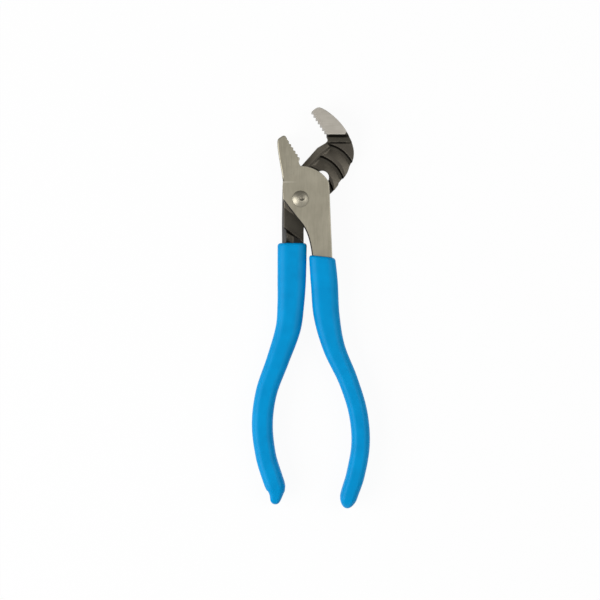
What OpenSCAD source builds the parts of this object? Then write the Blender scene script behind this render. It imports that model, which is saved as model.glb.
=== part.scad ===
// Small tongue and groove water pump pliers, lying on its back with the handles nearly shut
// and the jaws at the widest of three settings.
// X runs to the right, Y toward the jaws and Z up the pivot bolt. The origin is on the bolt's
// axis, level with the flat back of the rear half, which lies on the bench.

/* [Pivot] */
// Radius of the bolt's shank
shank_r = 1.9; // [1.7:0.05:2.1]
// Running clearance round the shank, on the radius
running_fit = 0.05; // [0.02:0.01:0.08]
// Width of the bolt's head across its two flats
head_flats = 6.1; // [5.6:0.1:6.6]
// Thickness of the bolt's head
head_h = 1.25; // [1:0.05:1.4]
// Radius of the domed nut on the front
nut_r = 2.3; // [2.2:0.05:2.6]
// Height of the nut's dome above the front face
nut_dome = 0.6; // [0.4:0.05:0.9]
// Radius of the bolt's staked end inside the nut
stud_r = 1.1; // [0.9:0.05:1.2]
// Radius of the punch mark that stakes the bolt
punch_r = 0.85; // [0.6:0.05:0.9]
// Depth of the punch mark
punch_depth = 0.3; // [0.2:0.02:0.4]

/* [Lap joint] */
// Thickness of the rear half at the joint
rear_layer = 3.5; // [3.3:0.05:3.8]
// Thickness of the front half at the joint
front_layer = 3.5; // [3.3:0.05:3.8]
// Gap between the two halves where they pass
layer_gap = 0.08; // [0.04:0.01:0.15]
// Radius of the front half's round rim
hub_r = 9.4; // [9.2:0.05:9.6]

/* [Adjustment] */
// Angle of the slot above the X axis
slot_angle = 45.8; // [44:0.2:48]
// Distance from one jaw setting to the next
setting_pitch = 4.4; // [4:0.1:4.8]
// Number of jaw settings
settings = 3; // [2:1:4]
// Depth of the grooves in the rear half
groove_depth = 1.15; // [0.9:0.05:1.3]
// Width of a groove's floor
groove_floor = 0.8; // [0.7:0.05:1]
// Width of the long slope on the inner side of a groove
groove_ramp = 2; // [1.6:0.1:2.2]
// Width of the short slope on the outer side of a groove
groove_draft = 0.5; // [0.3:0.05:0.6]
// Clearance between the tongue and its groove
tongue_play = 0.15; // [0.1:0.01:0.25]

/* [Jaws] */
// Thickness of the jaws
jaw_thick = 6.3; // [5.8:0.1:6.6]
// Direction of the biting faces, counted from the X axis
bite_angle = 123; // [122:0.2:124]
// Length of the front jaw's biting face
front_bite_len = 6.65; // [6.2:0.05:7]
// Length of the rear jaw's biting face
rear_bite_len = 7.93; // [7.6:0.05:8.2]
// Distance between the biting faces at the narrowest setting
shut_gap = 1.3; // [1.1:0.05:2]
// Distance from one tooth to the next
tooth_pitch = 1.13; // [0.9:0.01:1.3]
// Depth of the teeth
tooth_depth = 0.48; // [0.3:0.02:0.6]

/* [Neck] */
// Slot's middle line to the neck's upper edge
neck_upper = 6.3; // [6.1:0.05:6.4]
// Slot's middle line to the neck's lower edge
neck_lower = 4.65; // [4.4:0.05:4.75]
// Width of the bevel along the neck's upper edge
neck_bevel = 1.4; // [1:0.1:1.8]
// Width of the rear half's shank above its grip
rear_shank_w = 6.09; // [5.8:0.05:6.2]

/* [Handles] */
// Pivot to the end of the front handle
front_reach = 88.1; // [80:0.5:100]
// Pivot to the end of the rear handle's drip
rear_reach = 87; // [80:0.5:100]
// Pivot to the top of the front grip
front_grip_top = 16.3; // [15.8:0.1:17]
// Pivot to the top of the rear grip
rear_grip_top = 12.45; // [12.3:0.05:13]
// Thickness of the steel inside the grips
tang_thick = 4.6; // [4.2:0.1:4.7]
// Thickness of the dipped coat
coat = 1.1; // [0.9:0.05:1.2]
// Clearance left between coat and steel
coat_gap = 0.03; // [0.02:0.01:0.06]

/* [Hidden] */
$fn = 64;
cut = 0.5;
far = 40;

// Levels above the bench
front_z = rear_layer + layer_gap;
face_z = front_z + front_layer;
mid_z = face_z / 2;
jaw_back = mid_z - jaw_thick / 2;
jaw_face = mid_z + jaw_thick / 2;
tang_back = mid_z - tang_thick / 2;
tang_face = mid_z + tang_thick / 2;
groove_z = rear_layer - groove_depth;
ledge_z = rear_layer + 0.9;
track_z = head_h + running_fit;
seat_z = face_z - 1.5;

// Directions
along = [cos(slot_angle), sin(slot_angle)];
across = [-sin(slot_angle), cos(slot_angle)];
bite = [cos(bite_angle), sin(bite_angle)];
facing = [sin(bite_angle), -cos(bite_angle)];

// Slot and grooves
travel = setting_pitch * (settings - 1);
end_play = 0.1;
slot_r = shank_r + running_fit;
track_half = head_flats / 2 + running_fit;
head_r = head_flats / 2 + 0.6;
rim_gap = 0.45;
groove_out = hub_r + rim_gap;
groove_in = groove_out - groove_draft - groove_floor;
groove_from = -40;
groove_to = 100;
groove_end = neck_upper - neck_bevel - 0.25;
tongue_root = 0.6;
tongue_from = -58;
tongue_to = -4;
tongue_edge_x = 8.05;

// Jaws: the rear jaw's points are given at the narrowest setting and carried out by the travel
front_bite = [-0.23, 11.67];
front_tip = front_bite + front_bite_len * bite;
rear_bite_slip = -0.8;
rear_bite = front_bite + shut_gap * facing + rear_bite_slip * bite;
rear_tip = rear_bite + rear_bite_len * bite;
lap_y = 9.75;
ledge_y = hub_r + 0.6 + travel * along.y;
shoulder_y = ledge_y + 2.05;
shoulder_run = 0.7;
ledge_run = 0.35;
front_step = [-3.6, 4.95];
jaw_fold = [0.9, 9.9];
jaw_taper = (face_z - jaw_face) / 8.5;
rear_back_y = ledge_y - 2;

// Nut's round dome and the punch mark in it
dome_r = (nut_r * nut_r + nut_dome * nut_dome) / (2 * nut_dome);
dome_z = face_z + nut_dome - dome_r;
punch_at = [0.5, 0.25];
punch_ball = (punch_r * punch_r + punch_depth * punch_depth) / (2 * punch_depth);
punch_z = dome_z + sqrt(dome_r * dome_r - punch_at * punch_at) - punch_depth + punch_ball;

// Rear shank and the step up to the handle's level
rear_left_x = -5.18;
rear_right_x = rear_left_x + rear_shank_w;
step_left = [-7, -6.5];
step_right = [3, -12.55];
step_run = 1;
step_foot = 0.6;
bevel_slope = 0.6;
back_step_y = -8;

// Handles: fraction of the way down, place across, width of the grip, share of its thickness
front_line = [
    [0, 6.15, 7.6, 1], [0.109, 6.8, 7.75, 1], [0.235, 7.46, 7.45, 1], [0.362, 9.57, 6.35, 1],
    [0.489, 13.52, 5.6, 1], [0.617, 16.37, 5.4, 1], [0.744, 17.14, 5.3, 1],
    [0.87, 15.63, 5.3, 1], [0.95, 13.8, 5, 0.98], [1, 13.05, 4.3, 0.88]
];
rear_line = [
    [0, -2.36, 8.4, 1], [0.142, -2.5, 8.17, 1], [0.233, -2.76, 7.7, 1], [0.325, -3.5, 7.25, 1],
    [0.447, -6.46, 6.5, 1], [0.57, -9.71, 6.15, 1], [0.692, -10.88, 6.05, 1],
    [0.814, -9.88, 5.85, 1], [0.9, -7.95, 5.85, 1], [0.938, -6.98, 5.5, 0.95],
    [0.96, -6.95, 4.1, 0.74], [0.982, -7.16, 3.1, 0.54], [1, -7.2, 2.9, 0.47]
];
front_lip_tilt = -6.5;
rear_lip_tilt = 0;
lip_ease = 0.1;
sink_to = 0.24;
front_tang_end = 0.93;
rear_tang_end = 0.89;
front_cap = 3.4;
rear_cap = 1.5;
lip_r = 0.6;
sides = 24;
coat_power = 3;
tang_power = 4.5;

// Points on a round stretch, both ends included
function arc(centre, r, from, to, steps) =
    [for (i = [0:steps]) let (a = from + (to - from) * i / steps) centre + r * [cos(a), sin(a)]];

// Points on a curve pulled by two handles, without its last point
function bend(a, b, c, d, steps) =
    [for (i = [0:steps - 1])
        let (t = i / steps, s = 1 - t)
        s * s * s * a + 3 * s * s * t * b + 3 * s * t * t * c + t * t * t * d];

// A place given along the slot and across it, counted to the lower right
function by_slot(s, t) = s * along - t * across;

// A place on the rear jaw, given at the narrowest setting
function on_jaw(p) = p + travel * along;

// A smooth value read from column k of a list of stations at the fraction f
function station(line, f, i = 0) =
    (i >= len(line) - 2 || f < line[i + 1][0]) ? i : station(line, f, i + 1);
function slope(line, k, i) =
    let (a = max(i - 1, 0), b = min(i + 1, len(line) - 1))
    (line[b][k] - line[a][k]) / (line[b][0] - line[a][0]);
function read(line, k, f) =
    let (
        i = station(line, f), h = line[i + 1][0] - line[i][0], t = (f - line[i][0]) / h,
        a = line[i][k], b = line[i + 1][k],
        p = h * slope(line, k, i), q = h * slope(line, k, i + 1)
    )
    a + t * (p + t * (3 * (b - a) - 2 * p - q + t * (2 * (a - b) + p + q)));

function ease(x) = let (t = min(max(x, 0), 1)) t * t * (3 - 2 * t);
function mix(a, b, t) = a + (b - a) * t;

// A rounded section of half width a and half thickness b
function powered(x, p) = sign(x) * pow(abs(x), 2 / p);
function section(a, b, power) =
    [for (i = [0:sides - 1])
        let (t = 360 * (i + 0.5) / sides)
        [a * powered(cos(t), power), b * powered(sin(t), power)]];

// Handle frame at the fraction f: across direction, middle and half thickness
function down(top, reach, f) = top + f * (reach - top);
function lean(line, top, reach, f) =
    let (e = 0.004)
    atan2(read(line, 1, min(f + e, 1)) - read(line, 1, max(f - e, 0)),
        (min(f + e, 1) - max(f - e, 0)) * (reach - top));
function level(sinks, f) =
    sinks ? mix([front_z - 0.65, face_z], [tang_back, tang_face], ease(f / sink_to))
        : [tang_back, tang_face];

// One ring across a handle, grown by extra beyond the steel and scaled by size
function ring(line, top, reach, tilt, sinks, f, extra, size, power) =
    let (
        g = max(f, 0),
        a = mix(tilt, lean(line, top, reach, g), ease(g / lip_ease)),
        z = level(sinks, g),
        w = (read(line, 2, g) / 2 - coat + extra) * size,
        h = ((z[1] - z[0]) / 2 + extra) * size * read(line, 3, g)
    )
    [for (p = section(w, h, power))
        [
            read(line, 1, g) + p.x * cos(a),
            -down(top, reach, f) + p.x * sin(a),
            (z[0] + z[1]) / 2 + p.y
        ]];

// Fractions at which a handle has rings: close together where it curves
function steps_to(end, count) = [for (i = [1:count]) end * i / count];

// A closed skin over rings that all have the same number of points
module skin(rings) {
    n = len(rings[0]);
    last = len(rings) - 1;
    polyhedron(
        points = [for (r = rings, p = r) p],
        faces = concat(
            [[for (j = [0:n - 1]) j]],
            [for (i = [0:last - 1], j = [0:n - 1])
                [i * n + j, (i + 1) * n + j, (i + 1) * n + (j + 1) % n, i * n + (j + 1) % n]],
            [[for (j = [n - 1:-1:0]) last * n + j]]
        )
    );
}

// A flat forging from z0 to z1
module forging(pts, z0, z1) {
    slab(z0, z1)
        polygon(pts);
}

// Anything between two heights over a flat shape
module slab(z0, z1) {
    translate([0, 0, z0])
        linear_extrude(z1 - z0)
            children();
}

// A shape drawn in Y and Z, run across the whole part
module across_part() {
    rotate([90, 0, 90])
        translate([0, 0, -far])
            linear_extrude(2 * far)
                children();
}

// Notches between the teeth; side is 1 where the steel is left of the biting direction
module notches(start, length, side) {
    count = floor(length / tooth_pitch);
    for (i = [0:count - 1])
        translate(start + (i + 0.5) * tooth_pitch * bite)
            rotate(bite_angle)
                slab(-cut, face_z + cut)
                    polygon([
                        [-0.45 * tooth_pitch, -0.02 * side],
                        [-0.45 * tooth_pitch, -cut * side],
                        [0.45 * tooth_pitch, -cut * side],
                        [0.45 * tooth_pitch, -0.02 * side],
                        [0.12 * tooth_pitch, tooth_depth * side]
                    ]);
}

// Flat shape swept by something of radius r sliding along the slot
module track_outline(r, half) {
    rotate(slot_angle)
        intersection() {
            union() {
                translate([-end_play, 0])
                    circle(r);
                translate([travel + end_play, 0])
                    circle(r);
                translate([-end_play, -r])
                    square([travel + 2 * end_play, 2 * r]);
            }
            translate([-far, -half])
                square([2 * far, 2 * half]);
        }
}

// Part of a turned ring, its section drawn as radius and height
module turned(from, to) {
    rotate(from)
        rotate_extrude(angle = to - from)
            children();
}

function front_outline() =
    let (
        lip = [cos(front_lip_tilt), sin(front_lip_tilt)],
        foot = [6.28, 0.05 - front_grip_top],
        heel = [0.71, -6.75],
        corner = [-4.72, -0.1]
    )
    concat(
        arc([0, 0], hub_r, 90, 33, 16),
        bend([7.98, 4.95], [8.22, 4.55], [8.26, 2.6], [8.38, -1], 5),
        [[8.38, -1], foot + 2.77 * lip, foot - 2.72 * lip],
        bend(foot - 2.75 * lip + [0, 0.15], [3.35, -13.4], [2.6, -9.1], heel, 10),
        [heel],
        bend(mix(corner, heel, 0.08), corner, corner, corner + [0.02, 0.6], 4),
        bend(corner + [0.02, 0.6], [-4.75, 6.5], [-6.52, 12.2], [-6.58, 15.8], 12),
        bend([-6.58, 15.8], [-6.58, 16.9], [-6.45, 17.1], [-5.9, 17.45], 4),
        bend([-5.9, 17.45], [-4.7, 18.25], [-4.5, 18.4], front_tip, 4),
        [front_tip],
        bend(front_bite, [-0.5, 11], [-0.65, 10.4], [-0.04, 9.42], 5)
    );

// Upper edge of the rear half's neck, from the shank to the jaw's throat
function neck_edge() = [
    by_slot((rear_left_x - neck_upper * across.x) / along.x + 0.5, -neck_upper),
    by_slot(travel - 2, -neck_upper),
    by_slot(travel + 4.9, -neck_upper - 0.2),
    on_jaw([1.3, 10.05])
];

function rear_outline() =
    let (
        crook = by_slot(2, neck_lower),
        shank = [rear_right_x, -8.8],
        edge = neck_edge()
    )
    concat(
        [edge[0], edge[1], edge[2]],
        [for (p = concat(
            bend([1.3, 10.05], [1.72, 10.4], [1.7, 10.9], rear_bite, 4),
            [rear_bite],
            bend(rear_tip, [-2.3, 19.1], [-1.6, 19.75], [-0.73, 19.74], 4),
            bend([-0.73, 19.74], [1.87, 18.99], [5.87, 15.19], [7.17, 12.49], 9),
            bend([7.17, 12.49], [8.47, 10.69], [9.87, 7.5], [8.69, 4.47], 9),
            [[8.69, 4.47], [8.34, 4.22]],
            bend([8.2, 3.9], [7.4, 2.4], [7.9, 1.9], [6.12, -0.17], 7),
            [[6.12, -0.17], [5.72, -0.31], [4.83, -1.4], [4.66, -2.06], [3.82, -3.2]]
        )) on_jaw(p)],
        bend(crook, crook - 2.5 * along, [rear_right_x, -5.5], shank, 8),
        [shank, [rear_right_x, 0.05 - rear_grip_top], [rear_left_x, 0.05 - rear_grip_top]],
        [[rear_left_x, (neck_upper - rear_left_x * across.x) / along.x - 0.6]]
    );

// Steel of a handle, from inside the forging to its end under the coat
module tang(line, top, reach, tilt, sinks, end) {
    root = 0.4 / (reach - top);
    skin(concat(
        [
            ring(line, top, reach, tilt, sinks, -root, 0, 0.9, tang_power),
            ring(line, top, reach, tilt, sinks, -0.0005, 0, 0.9, tang_power),
            ring(line, top, reach, tilt, sinks, 0.006, 0, 1, tang_power)
        ],
        [for (f = steps_to(end, 20)) ring(line, top, reach, tilt, sinks, f, 0, 1, tang_power)],
        [
            ring(line, top, reach, tilt, sinks, end + 0.008, 0, 0.88, tang_power),
            ring(line, top, reach, tilt, sinks, end + 0.012, 0, 0.6, tang_power)
        ]
    ));
}

// Dipped coat round a handle: up the pocket, over the lip, down to the rounded end
module coating(line, top, reach, tilt, sinks, end, cap) {
    run = reach - top;
    cap_from = 1 - cap / run;
    pocket = steps_to(end, 20);
    body = [for (i = [1:28]) mix(lip_r / run, cap_from, i / 28)];
    skin(concat(
        [ring(line, top, reach, tilt, sinks, end + 0.016, coat_gap, 1, tang_power)],
        [for (i = [len(pocket) - 1:-1:0])
            ring(line, top, reach, tilt, sinks, pocket[i], coat_gap, 1, tang_power)],
        [ring(line, top, reach, tilt, sinks, 0, coat_gap, 1, tang_power)],
        [for (a = [0:30:90])
            ring(line, top, reach, tilt, sinks, lip_r * (1 - cos(a)) / run,
                coat - lip_r * (1 - sin(a)), 1, coat_power)],
        [for (f = body) ring(line, top, reach, tilt, sinks, f, coat, 1, coat_power)],
        [for (a = [20, 40, 58, 72, 82])
            ring(line, top, reach, tilt, sinks, mix(cap_from, 1, sin(a)), coat, cos(a), coat_power)]
    ));
}

// Polished half on top: lower left jaw, hub with the bore, and the right handle's steel
module front_half() {
    color("#9c968a") {
        difference() {
            union() {
                difference() {
                    forging(front_outline(), jaw_back, face_z);
                    across_part()
                        polygon([
                            [lap_y, -cut], [lap_y + 0.5, jaw_back], [lap_y, front_z],
                            [2.8 - front_grip_top, front_z], [-front_grip_top - cut, front_z - 0.75],
                            [-front_grip_top - cut, -cut]
                        ]);
                }
                tongue();
                tang(front_line, front_grip_top, front_reach, front_lip_tilt, true, front_tang_end);
            }
            jaw_slope();
            notches(front_bite, front_bite_len, 1);
            translate([0, 0, front_z - cut])
                cylinder(r = slot_r, h = front_layer + 2 * cut);
            translate([0, 0, seat_z - running_fit])
                cylinder(r = nut_r + running_fit, h = front_layer);
        }
    }
}

// Ground off the front jaw above its step, more and more towards the tip
module jaw_slope() {
    run = jaw_fold - front_step;
    intersection() {
        translate([front_step.x, front_step.y, 0])
            rotate([0, 0, atan2(run.y, run.x)])
                rotate([90, 0, 90])
                    translate([0, 0, -far])
                        linear_extrude(2 * far)
                            polygon([
                                [-1, face_z + jaw_taper], [far, face_z - far * jaw_taper],
                                [far, face_z + 1], [-1, face_z + 1]
                            ]);
        translate([-far, front_step.y, 0])
            cube([2 * far, far, 2 * face_z]);
    }
}

// Rib under the front half that runs in the grooves
module tongue() {
    intersection() {
        turned(tongue_from, tongue_to)
            polygon([
                [groove_in - tongue_root, front_z + 0.3],
                [groove_in - tongue_root, front_z],
                [groove_in + tongue_play, groove_z + tongue_play],
                [hub_r - groove_draft, groove_z + tongue_play],
                [hub_r, rear_layer],
                [hub_r, front_z + 0.3]
            ]);
        translate([0, -far, 0])
            cube([tongue_edge_x, 2 * far, face_z]);
    }
}

// Dark half below: hooked jaw, slotted and grooved neck, and the left handle's steel
module rear_half() {
    color("#45413b") {
        difference() {
            union() {
                difference() {
                    forging(rear_outline(), 0, jaw_face);
                    lap_cuts();
                }
                tang(rear_line, rear_grip_top, rear_reach, rear_lip_tilt, false, rear_tang_end);
            }
            slab(-cut, rear_layer + cut)
                track_outline(slot_r, slot_r);
            slab(-cut, track_z)
                track_outline(head_r + running_fit, track_half);
            grooves();
            notches(on_jaw(rear_bite), rear_bite_len, -1);
        }
    }
}

// What is milled off the rear forging: the lap, the ledge, the two handle steps and the jaw's back
module lap_cuts() {
    foot = step_left + [0, step_foot];
    end = step_right + [0, step_foot];
    slab(rear_layer, face_z)
        polygon([
            foot, [-far, foot.y], [-far, ledge_y - 1], [far, ledge_y - 1], [far, end.y], end
        ]);
    across_part()
        polygon([
            [ledge_y - 1.5, face_z], [ledge_y - 1.5, rear_layer],
            [ledge_y - ledge_run, rear_layer], [ledge_y, ledge_z],
            [shoulder_y - shoulder_run, ledge_z],
            [shoulder_y + shoulder_run * (face_z - jaw_face) / (jaw_face - ledge_z), face_z]
        ]);
    handle_step();
    slab(tang_face, face_z)
        polygon([[-far, -far], [-far, 0], [far, 0], [far, -far]]);
    across_part()
        polygon([
            [back_step_y, -cut], [back_step_y, 0], [back_step_y - 3, tang_back],
            [-far, tang_back], [-far, -cut]
        ]);
    across_part()
        polygon([
            [rear_back_y, -cut], [rear_back_y, 0], [rear_back_y + 0.6, jaw_back],
            [far, jaw_back], [far, -cut]
        ]);
    edge = neck_edge();
    last = len(edge) - 2;
    for (i = [0:last])
        edge_bevel(edge[i], edge[i + 1], i == 0 ? 4 : 0.8, i == last ? 0 : 0.8);
}

// Bevel on the lap's edge from a to b and a little past each, with the steel on the right hand
module edge_bevel(a, b, before, after) {
    run = b - a;
    translate([a.x, a.y, 0])
        rotate([0, 0, atan2(run.y, run.x)])
            rotate([90, 0, 90])
                translate([0, 0, -before])
                    linear_extrude(norm(run) + before + after)
                        polygon([
                            [-neck_bevel, rear_layer],
                            [1, rear_layer - bevel_slope * (neck_bevel + 1)],
                            [1, rear_layer + 0.3],
                            [-neck_bevel, rear_layer + 0.3]
                        ]);
}

// Slope from the lap up to the handle's level
module handle_step() {
    run = step_right - step_left;
    turn = atan2(run.y, run.x);
    translate([step_left.x, step_left.y, 0])
        rotate([0, 0, turn])
            rotate([90, 0, 90])
                translate([0, 0, -far])
                    linear_extrude(2 * far)
                        polygon(concat(
                            [[1, face_z], [-step_run, face_z]],
                            [for (i = [0:6])
                                let (a = 90 - 80 * i / 6)
                                [
                                    step_run * (cos(a) / cos(10) - 1),
                                    mix(rear_layer, tang_face, (sin(a) - sin(10)) / (1 - sin(10)))
                                ]],
                            [[1, rear_layer]]
                        ));
}

// One arc groove for each jaw setting, deep against its outer wall and ending short of the bevel
module grooves() {
    over = 0.15 / groove_depth;
    intersection() {
        for (i = [0:settings - 1])
            translate(i * setting_pitch * along)
                turned(groove_from, groove_to)
                    polygon([
                        [groove_in - groove_ramp * (1 + over), rear_layer + 0.15],
                        [groove_in, groove_z],
                        [groove_out - groove_draft, groove_z],
                        [groove_out + groove_draft * over, rear_layer + 0.15]
                    ]);
        rotate([0, 0, slot_angle])
            translate([-far, -far, 0])
                cube([2 * far, far + groove_end, face_z]);
    }
}

// Bolt from the back: flat head with two flats, plain shank and a staked end
module pivot_bolt() {
    color("#6f6a61") {
        intersection() {
            cylinder(r = head_r, h = head_h);
            rotate([0, 0, slot_angle])
                translate([-far, -head_flats / 2, 0])
                    cube([2 * far, head_flats, head_h]);
        }
        translate([0, 0, 0.2])
            cylinder(r = shank_r, h = seat_z - 0.2);
        domed()
            translate([0, 0, seat_z - 0.2])
                cylinder(r = stud_r, h = face_z + 1 - seat_z);
    }
}

// Trims anything to the nut's dome and punches the mark into it
module domed() {
    difference() {
        intersection() {
            children();
            translate([0, 0, dome_z])
                sphere(r = dome_r);
        }
        translate([punch_at.x, punch_at.y, punch_z])
            sphere(r = punch_ball);
    }
}

// Domed nut sunk into the polished face
module pivot_nut() {
    bore = stud_r + 0.02;
    color("#b3aea2")
        domed()
            rotate_extrude()
                polygon([
                    [bore, seat_z], [nut_r - 0.15, seat_z], [nut_r, seat_z + 0.15],
                    [nut_r, face_z + 1], [bore, face_z + 1]
                ]);
}

module front_grip() {
    color("#008fd0")
        coating(front_line, front_grip_top, front_reach, front_lip_tilt, true, front_tang_end, front_cap);
}

module rear_grip() {
    color("#008fd0")
        coating(rear_line, rear_grip_top, rear_reach, rear_lip_tilt, false, rear_tang_end, rear_cap);
}

front_half();
rear_half();
pivot_bolt();
pivot_nut();
front_grip();
rear_grip();
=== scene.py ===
"""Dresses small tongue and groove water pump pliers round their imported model.

Each steel half is a merged copy of its solid, brought to its last lines, with edges eased, broken
or left crisp as a forge and a grinding belt leave them. The two grips are lofted afresh as dipped
sleeves, and the rivet is turned. Lengths in the classes are millimetres, and everything handed to
Blender is metres.
"""

import logging
import math
from abc import ABC, abstractmethod
from collections.abc import Callable, Iterable
from dataclasses import dataclass, field
from enum import Enum

import bmesh
import bpy
from bmesh.types import BMEdge, BMesh, BMFace, BMVert
from bpy.types import ID, Material, Node, NodeSocket, NodeTree, Object, World
from mathutils import Matrix, Vector


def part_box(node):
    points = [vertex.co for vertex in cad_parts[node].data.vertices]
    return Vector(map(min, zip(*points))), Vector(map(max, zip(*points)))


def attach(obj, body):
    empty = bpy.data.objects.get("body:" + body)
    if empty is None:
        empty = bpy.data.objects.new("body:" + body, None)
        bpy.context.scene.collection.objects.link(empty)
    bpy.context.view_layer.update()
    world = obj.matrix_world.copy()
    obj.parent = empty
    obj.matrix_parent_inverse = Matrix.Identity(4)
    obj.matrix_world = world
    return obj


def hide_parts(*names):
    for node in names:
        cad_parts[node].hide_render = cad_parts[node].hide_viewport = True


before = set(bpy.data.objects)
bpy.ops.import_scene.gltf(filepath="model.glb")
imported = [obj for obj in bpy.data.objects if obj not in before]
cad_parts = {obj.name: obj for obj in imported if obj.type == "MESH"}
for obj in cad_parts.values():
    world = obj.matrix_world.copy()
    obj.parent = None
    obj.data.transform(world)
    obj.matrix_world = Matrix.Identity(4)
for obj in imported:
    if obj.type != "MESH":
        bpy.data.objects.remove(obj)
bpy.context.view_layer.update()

MM = 0.001
# Metres below which two corners are one, and below which nothing has moved.
WELD, HAIR = 1e-8, 1e-6
# Millimetres within which a corner lies on a line, and a face at a height.
NEAR, ABOUT = 0.02, 0.05
# How far a face's normal leans to an axis: level, nearly level, square to it, toward it, beside it.
LEVEL, FLAT, SQUARE, TOWARD, BESIDE = 0.99, 0.95, 0.9, 0.3, 0.1
X_WAY, Y_WAY, Z_WAY = Vector((1, 0, 0)), Vector((0, 1, 0)), Vector((0, 0, 1))
# Angle between two faces past which the edge between them is shaded as a crease.
CREASE = math.radians(42)
# Layer that brings out each steel's third colour: wear on rounded edges, and also a painted
# highlight at the front jaw's step and painted shade in the rivet's punch mark.
WEAR_AND_PAINT_LAYER = "edge"
log = logging.getLogger("pliers")


class Edge(Enum):
    """How an edge is rounded: its width in millimetres, the steps across it and its wear."""

    EASED = (0.4, 5, 0.3)
    SHADED = (0.3, 4, 0.01)
    BROKEN = (0.22, 3, 1.0)
    FINE = (0.14, 3, 1.0)
    TRUE = (0.08, 3, 0.01)

    @property
    def width(self) -> float:
        """Width of the rounding in metres."""
        return self.value[0] * MM

    @property
    def steps(self) -> int:
        """Flat steps across the rounding."""
        return self.value[1]

    @property
    def wear(self) -> float:
        """How far rubbing brightens the rounding, from nought to one."""
        return self.value[2]


class Grind(Enum):
    """Direction of the grinding lines: how far a line is drawn out along X, Y and Z."""

    LENGTHWAYS = (1.0, 14.0, 1.0)
    CROSSWAYS = (14.0, 1.0, 1.0)
    NONE = (1.0, 1.0, 1.0)


def linear(colour: str) -> tuple[float, float, float, float]:
    """Turns an sRGB hex colour into the linear one that shaders take.

    Args:
        colour: Six hex digits after a hash.

    Returns:
        Red, green, blue and an alpha of one.
    """
    parts = [int(colour[i:i + 2], 16) / 255 for i in (1, 3, 5)]
    red, green, blue = (p / 12.92 if p <= 0.04045 else ((p + 0.055) / 1.055) ** 2.4 for p in parts)
    return red, green, blue, 1.0


def per_metre(size: float) -> float:
    """Texture scale at which one feature is about so many millimetres wide."""
    return 1 / (size * MM)


def spot(x: float, y: float, z: float = 0.0) -> Vector:
    """A dataclass field that holds a place or a direction."""
    return field(default_factory=lambda: Vector((x, y, z)))


def middle_of(face: BMFace) -> Vector:
    """The middle of a face, in millimetres."""
    return face.calc_center_median() / MM


def clear_tree(owner: Material | World) -> NodeTree:
    """Gives a material or a world an empty node tree.

    Args:
        owner: What takes the tree.

    Returns:
        The tree.
    """
    owner.use_nodes = True
    owner.node_tree.nodes.clear()
    return owner.node_tree


def add_node(tree: NodeTree, kind: str, inputs: dict | None = None, **settings: object) -> Node:
    """Adds one node with its settings, constant inputs and links.

    Args:
        tree: Tree that takes the node.
        kind: Blender's type name of the node.
        inputs: Inputs by name or number. A socket or a node's first output is linked, and any
            other value is set.
        settings: Attributes of the node itself.

    Returns:
        The new node.
    """
    made = tree.nodes.new(kind)
    for name, value in settings.items():
        setattr(made, name, value)
    for key, value in (inputs or {}).items():
        source = value.outputs[0] if isinstance(value, Node) else value
        if isinstance(source, NodeSocket):
            tree.links.new(source, made.inputs[key])
        else:
            made.inputs[key].default_value = source
    return made


def add_object(name: str, data: ID) -> Object:
    """Puts a mesh, a lamp or a camera into the scene.

    Args:
        name: Name of the new object.
        data: What the object shows.

    Returns:
        The new object.
    """
    made = bpy.data.objects.new(name, data)
    bpy.context.scene.collection.objects.link(made)
    return made


@dataclass(frozen=True)
class Finish(ABC):
    """A surface finish, which makes its own material."""

    name: str

    def material(self) -> Material:
        """Makes the material.

        Returns:
            A node material named for its finish.
        """
        made = bpy.data.materials.new(self.name)
        tree = clear_tree(made)
        add_node(tree, "ShaderNodeOutputMaterial", {"Surface": self.shade(tree)})
        return made

    @abstractmethod
    def shade(self, tree: NodeTree) -> Node:
        """Adds the finish's nodes to a tree and returns its shader."""


@dataclass(frozen=True)
class Steel(Finish):
    """Forged carbon steel in two tones, with a third where its edges rub, which also carries the
    painted highlight and painted shade that a piece marks.
    """

    low: str
    high: str
    wear_and_paint_colour: str
    rough: float

    def tint(self, tree: NodeTree, both: Node, rub: Node) -> NodeSocket:
        """Mixes the steel's colour.

        Args:
            tree: Tree that takes the nodes.
            both: The fine and the broad pattern, added up.
            rub: How far an edge is rubbed there.

        Returns:
            The colour.
        """
        share = add_node(tree, "ShaderNodeMapRange",
                         {"Value": both, "From Min": 0.7, "From Max": 1.3})
        face = add_node(tree, "ShaderNodeMix",
                        {0: share, 6: linear(self.low), 7: linear(self.high)}, data_type="RGBA")
        # The mark layer mixes in the third colour: wear on edges, and on some pieces a painted
        # highlight and painted shade.
        edge = add_node(tree, "ShaderNodeAttribute", attribute_name=WEAR_AND_PAINT_LAYER)
        bare = add_node(tree, "ShaderNodeMath", {0: edge.outputs["Fac"], 1: rub},
                        operation="MULTIPLY")
        mixed = add_node(tree, "ShaderNodeMix",
                         {0: bare, 6: face.outputs[2], 7: linear(self.wear_and_paint_colour)}, data_type="RGBA")
        return mixed.outputs[2]


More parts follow.
